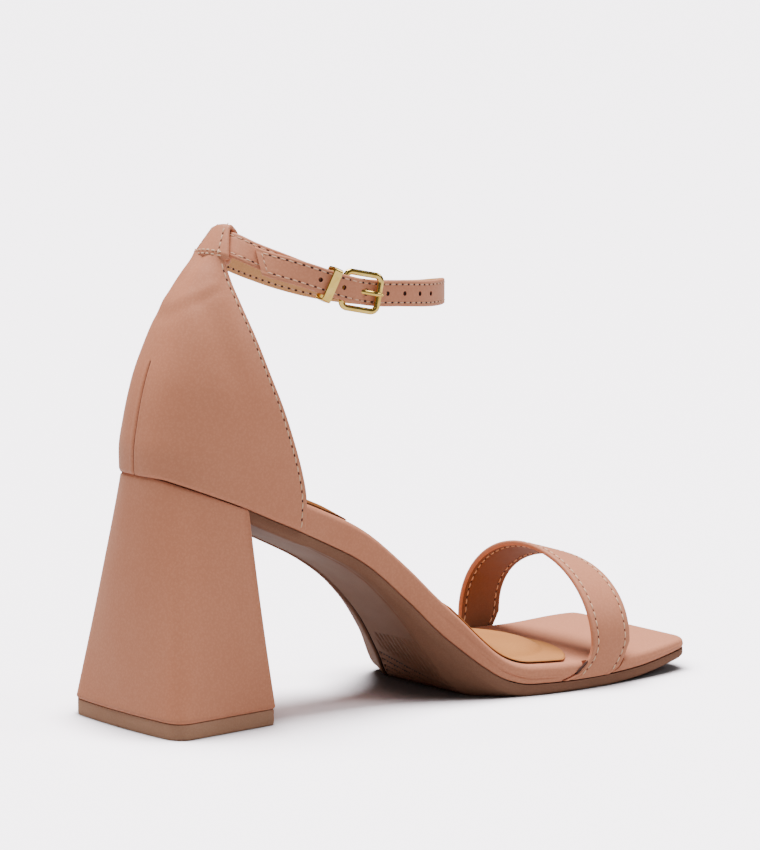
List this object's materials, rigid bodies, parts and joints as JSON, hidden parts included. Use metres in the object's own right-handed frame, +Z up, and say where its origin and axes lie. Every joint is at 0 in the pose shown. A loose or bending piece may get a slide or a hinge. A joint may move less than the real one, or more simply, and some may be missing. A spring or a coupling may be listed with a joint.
{
  "type": "block heel sandal",
  "caption": "Open block heel sandal with closed heel counter, vamp strap and buckled ankle strap, standing empty.",
  "frame": {"origin": "on the ground under the middle of the heel's foot", "axes": "+X towards the toe, +Y towards the inner side of the foot, +Z up"},
  "size_m": [0.2315, 0.0825, 0.1749],
  "materials": {
    "nude_leather": "smooth, satin",
    "tan_leather": "smooth, matt",
    "brown_rubber": "satin",
    "gold_metal": "polished"
  },
  "bodies": {
    "root": {"outsole": "brown_rubber", "footbed": "nude_leather", "ball_pad": "tan_leather", "heel_sock": "tan_leather", "heel_block": "nude_leather", "heel_lift": "brown_rubber", "counter": "nude_leather", "vamp_strap": "nude_leather", "ankle_strap": "nude_leather", "buckle_frame": "gold_metal", "buckle_prong": "gold_metal", "keeper": "gold_metal"}
  },
  "joints": []
}
